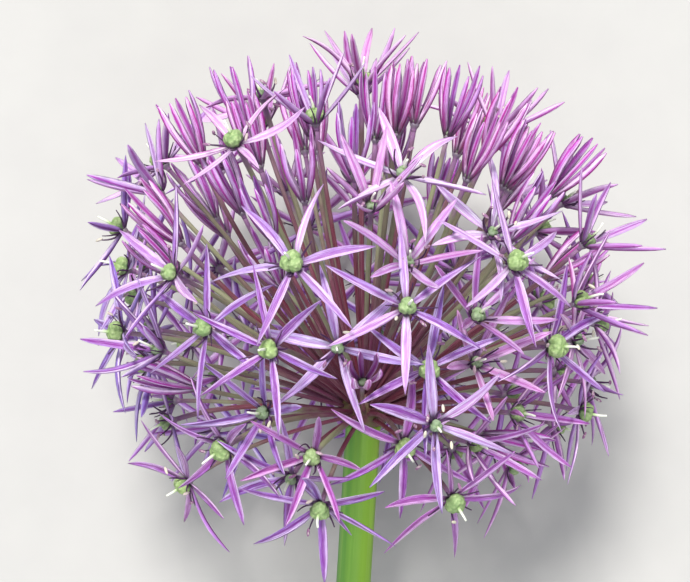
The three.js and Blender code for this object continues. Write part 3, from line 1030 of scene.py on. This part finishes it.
is_open = np.array([stage != "tuft" for stage in stages])
open_count = int(is_open.sum())
top_of_ovary = facing * STYLE_ROOT_RISE * OVARY_FLATNESS * ovary_radius[:, None]
style_root = (place + top_of_ovary)[is_open]
style_lean = variety.uniform(-STYLE_LEAN, STYLE_LEAN, (open_count, 3))
style_facing = unit(facing[is_open] + style_lean)
style_length = STYLE_LENGTH * variety.uniform(*STYLE_VARIETY, open_count)
style_length = clear_of_table(style_root, style_facing, style_length)[:, None]
style_values = dict(
    root=laid(style_root),
    bend=laid(style_root + facing[is_open] * style_length * 0.5),
    end=laid(style_root + style_facing * style_length),
    beside=turned(beside[is_open]),
    stoutness=np.ones(open_count),
)
style_growth = stalk_growth("style growth", style_finish, STYLE_SIDES, STYLE_STEPS, STYLE_RADII)
style_growth.grow("styles", laid(style_root), style_values)


# The stamens
# Six dark purple filaments rise round the ovary of an open floret, broad at the foot and thin as
# a thread at the tip. On fresh florets most carry a small dusty anther, and on ripe ones few do.
FILAMENT_LENGTH = 6.3
FILAMENT_RING = 1.25
FILAMENT_RISE = 0.2
FILAMENT_OPENING = {"star": (36, 60), "half": (24, 34)}
FILAMENT_VARIETY = (0.7, 1.1)
FILAMENT_STRAY = 14
FILAMENT_TURN_OFF = 0.35
FILAMENT_RADII = (0.4, 0.17)
FILAMENT_STOUTNESS = (0.9, 1.25)
RIPE_THINNING = 0.25
FILAMENT_SIDES = 5
FILAMENT_STEPS = 6
ANTHER_LENGTH = 2.2
ANTHER_WIDTH = 0.85
ANTHER_SIDES = 8
ANTHER_RINGS = 6
ANTHERS_KEPT_FRESH = 0.8
ANTHERS_KEPT_RIPE = 0.15

filament_finish = Finish("dark_filament", roughness=0.5)
x, y, z = filament_finish.parts("on_stalk")
fleck = filament_finish.noise(500)
towards_end = filament_finish.rise(z + (fleck - 0.5), -0.6, 0.1)
colour = filament_finish.blend(towards_end, shade(112, 66, 120), shade(62, 26, 68))
filament_finish.coloured(colour, height=fleck, depth=0.0001)

open_stages = [stage for stage in stages if stage != "tuft"]
turn_off = variety.uniform(-FILAMENT_TURN_OFF, FILAMENT_TURN_OFF, (open_count, TEPAL_COUNT))
between_tepals = math.pi / TEPAL_COUNT + turn_off
radial = (
    of_all("radial")[is_open] * np.cos(between_tepals)[..., None]
    + of_all("side")[is_open] * np.sin(between_tepals)[..., None]
)
outward = np.broadcast_to(facing[is_open][:, None], radial.shape)
ripe_share = ripeness[is_open][:, None]
least, most = np.array([FILAMENT_OPENING[stage] for stage in open_stages]).T[..., None]
stray = variety.uniform(-FILAMENT_STRAY, FILAMENT_STRAY, radial.shape[:2])
opening = np.radians(least + (most - least) * ripe_share + stray)[..., None]
stamen_direction = outward * np.cos(opening) + radial * np.sin(opening)
stamen_root = place[is_open][:, None] + radial * FILAMENT_RING + outward * FILAMENT_RISE
stamen_length = FILAMENT_LENGTH * variety.uniform(*FILAMENT_VARIETY, radial.shape[:2])
stamen_length = clear_of_table(stamen_root, stamen_direction, stamen_length)[..., None]
stamen_end = stamen_root + stamen_direction * stamen_length
# Each leaves the floret low and then curves up.
bend_direction = unit(radial * 1.3 + outward * 0.6 + variety.uniform(-0.5, 0.5, radial.shape))
stamen_bend = stamen_root + bend_direction * stamen_length * 0.5
stoutness = variety.uniform(*FILAMENT_STOUTNESS, radial.shape[:2]) - RIPE_THINNING * ripe_share
filament_values = dict(
    root=laid(stamen_root),
    bend=laid(stamen_bend),
    end=laid(stamen_end),
    beside=turned(np.cross(radial, outward)),
    stoutness=stoutness.ravel(),
)
filament_growth = stalk_growth(
    "filament growth", filament_finish, FILAMENT_SIDES, FILAMENT_STEPS, FILAMENT_RADII
)
filament_growth.grow("filaments", laid(stamen_root), filament_values)

anther_finish = Finish("dusty_anther", roughness=0.85)
tone = anther_finish.attribute("tone", "Fac")
dust = anther_finish.noise(1600, detail=3)
is_pale = anther_finish.rise(tone, 0.5, 0.8)
colour = anther_finish.coats(
    anther_finish.blend(is_pale, shade(146, 100, 138), shade(214, 210, 186)),
    (anther_finish.rise(dust, 0.45, 0.7) * 0.7, shade(224, 212, 206)),
)
anther_finish.coloured(colour, height=dust, depth=0.0003)

anther_growth = Growth(
    "anther growth",
    Sides=ANTHER_SIDES,
    Rings=ANTHER_RINGS,
    Length=ANTHER_LENGTH * MILLIMETRE,
    Width=ANTHER_WIDTH * MILLIMETRE,
)
feeds = {"Vector": anther_growth.attribute("lie")}
lying = anther_growth.node("FunctionNodeAlignRotationToVector", feeds, axis="Z")
width = anther_growth.size("Width")
grain_size = anther_growth.vector(width, width, anther_growth.size("Length"))
grain = anther_growth.on_points(anther_growth.ball(0.5), Rotation=lying, Scale=grain_size)
anther_growth.ended(grain, anther_finish)

share_kept = ANTHERS_KEPT_FRESH + (ANTHERS_KEPT_RIPE - ANTHERS_KEPT_FRESH) * ripe_share
anther_place = stamen_end[variety.uniform(0, 1, radial.shape[:2]) < share_kept]
anther_values = dict(
    lie=unit(variety.normal(0, 1, anther_place.shape)),
    tone=variety.uniform(0, 1, len(anther_place)),
)
anther_growth.grow("anthers", laid(anther_place), anther_values)


# The scape
# One stout round stalk, smooth and juicy, with faint ribs and a thin bloom down its length. Its
# lower end is cut square and shows the paler flesh with a ring of darker strands.
SCAPE_SIDES = 72
SCAPE_RINGS = 42
SCAPE_CUT_BEVEL = 0.35
SCAPE_CUT_DIP = 0.1
CUT_FACE_RADII = (1.2, 2.4, 3.4)
COLLAR_SWELL = 0.15

scape_profile = [(radius, -SCAPE_LENGTH + SCAPE_CUT_DIP) for radius in (0, *CUT_FACE_RADII)]
scape_profile.append((SCAPE_RADIUS - SCAPE_CUT_BEVEL, -SCAPE_LENGTH))
evenly = np.linspace(-SCAPE_LENGTH + 2, -6, SCAPE_RINGS)
for height in (-SCAPE_LENGTH + SCAPE_CUT_BEVEL, *evenly, -3, -1.2):
    scape_profile.append((SCAPE_RADIUS, height))
scape_profile += [(SCAPE_RADIUS + COLLAR_SWELL, -0.4), (SCAPE_RADIUS - 0.1, 0), (0, 0)]


def ribs(turn, height):
    """Thirteen fine ribs that waver down the stalk and five broad ones, none at the cut end."""
    fine = 0.004 * np.cos(13 * turn + 0.4 * np.sin(height / 31))
    broad = 0.006 * np.cos(5 * turn + 1)
    return 0.992 + (fine + broad) * np.clip((height + SCAPE_LENGTH) / 3, 0, 1)


scape_mesh = turned_form("scape_skin", scape_profile, SCAPE_SIDES, ribs)

scape_finish = Finish("juicy_green_stalk", roughness=0.48)
feeds = {"Vector": scape_finish.place(), "Location": tuple(-scape_top)}
from_top = scape_finish.node("ShaderNodeMapping", feeds, vector_type="POINT")
feeds = {"Vector": from_top, "Angle": -axis_rise}
stood_up = scape_finish.node("ShaderNodeVectorRotate", feeds, rotation_type="X_AXIS")
x, y, z = scape_finish.parts(stood_up)
along = scape_finish.vector(x * 900.0, y * 12.0, z * 900.0)
streak = scape_finish.noise(1.0, along, detail=4)
along = scape_finish.vector(x * 160.0, y * 9.0, z * 160.0)
mottle = scape_finish.noise(1.0, along, detail=3)
# One side of the stalk is painted yellower and the other bluer and darker: painted light and shade
# across it.
painted_sunlit_side = scape_finish.rise(x, -0.0045, 0.0045)
skin_colour = scape_finish.coats(
    scape_finish.blend(painted_sunlit_side, shade(90, 148, 56), shade(128, 170, 34)),
    (scape_finish.rise(streak, 0.4, 0.75) * 0.4, shade(146, 190, 74)),
    (scape_finish.rise(mottle, 0.4, 0.8) * 0.5, shade(80, 134, 38)),
)
radius = scape_finish.work("SQRT", x * x + z * z)
cut_start, cut_end = [(depth - SCAPE_LENGTH) * MILLIMETRE for depth in (0.05, 0.2)]
on_stalk = scape_finish.rise(y, cut_start, cut_end, smooth=False)
feeds = {"Vector": scape_finish.vector(x, z, 0.0), "Scale": 950.0}
strands = 1.0 - scape_finish.rise(scape_finish.node("ShaderNodeTexVoronoi", feeds), 0.1, 0.3)
inside_ring = 1.0 - scape_finish.rise(radius, 0.0038, 0.0044)
strands = strands * (scape_finish.rise(radius, 0.0016, 0.0030) * inside_ring)
flesh = scape_finish.blend(strands, shade(214, 226, 176), shade(128, 156, 92))
colour = scape_finish.blend(1.0 - on_stalk, skin_colour, flesh)
scape_finish.coloured(colour, height=streak, depth=0.0002)
scape_mesh.materials.append(scape_finish.material)
placed("scape_skin", scape_mesh, "scape", "scape")


# The table, the light and the camera
# A plain pale table, a window's soft light from above and beyond the top of the head, and a weak
# reflector low on the stalk's side. The camera looks down at the angle at which the head was
# seen on its growing stalk.
TABLE_SIZE = 6
ROOM_BRIGHTNESS = 0.58
CAMERA_DISTANCE = 0.6
CAMERA_LENS = 118
SEEN_FROM_ABOVE = math.radians(10)
FRAME_ROLL = math.radians(3.5)
FRAME_WIDTH = 690
FRAME_HEIGHT = 582
BALL_CENTRE_IN_FRAME = (361.5, 298)

table_finish = Finish("pale_table", roughness=0.9, gloss=0.2)
grain = table_finish.noise(60, detail=3)
table_finish.coloured(table_finish.blend(grain, shade(182, 181, 178), shade(189, 188, 184)))
bpy.ops.mesh.primitive_plane_add(size=TABLE_SIZE)
table = bpy.context.object
table.name = "table"
table.data.materials.append(table_finish.material)

centre = Vector(laid(BALL_CENTRE))
axis = Vector(turned(np.array([0, 0, 1.0])))
toward = Vector(turned(np.array([0, -math.cos(SEEN_FROM_ABOVE), math.sin(SEEN_FROM_ABOVE)])))
up = (axis - axis.dot(toward) * toward).normalized()
right = up.cross(toward)
camera = brought_in("camera", bpy.data.cameras.new("camera"))
camera.data.lens = CAMERA_LENS
camera.data.shift_x = -(BALL_CENTRE_IN_FRAME[0] - FRAME_WIDTH / 2) / FRAME_WIDTH
camera.data.shift_y = (BALL_CENTRE_IN_FRAME[1] - FRAME_HEIGHT / 2) / FRAME_WIDTH
facing_head = Matrix((right, up, toward)).transposed() @ Matrix.Rotation(FRAME_ROLL, 3, "Z")
standpoint = Matrix.Translation(centre + toward * CAMERA_DISTANCE)
camera.matrix_world = standpoint @ facing_head.to_4x4()
bpy.context.scene.camera = camera


def soft_light(name, place, size, power, colour):
    lamp = brought_in(name, bpy.data.lights.new(name, "AREA"))
    lamp.data.size = size
    lamp.data.energy = power
    lamp.data.color = colour
    lamp.location = place
    lamp.rotation_euler = (centre - Vector(place)).to_track_quat("-Z", "Y").to_euler()


soft_light("window", (-0.45, 1.0, 3.1), size=0.9, power=140, colour=(1, 0.98, 0.96))
soft_light("reflector", (0.4, -1.8, 1.4), size=1.2, power=12, colour=(0.9, 0.95, 1))
world = bpy.data.worlds.new("room")
bpy.context.scene.world = world
world.use_nodes = True
background = world.node_tree.nodes["Background"]
background.inputs["Color"].default_value = (0.9, 0.94, 1, 1)
background.inputs["Strength"].default_value = ROOM_BRIGHTNESS
bpy.context.scene.view_settings.view_transform = "Standard"
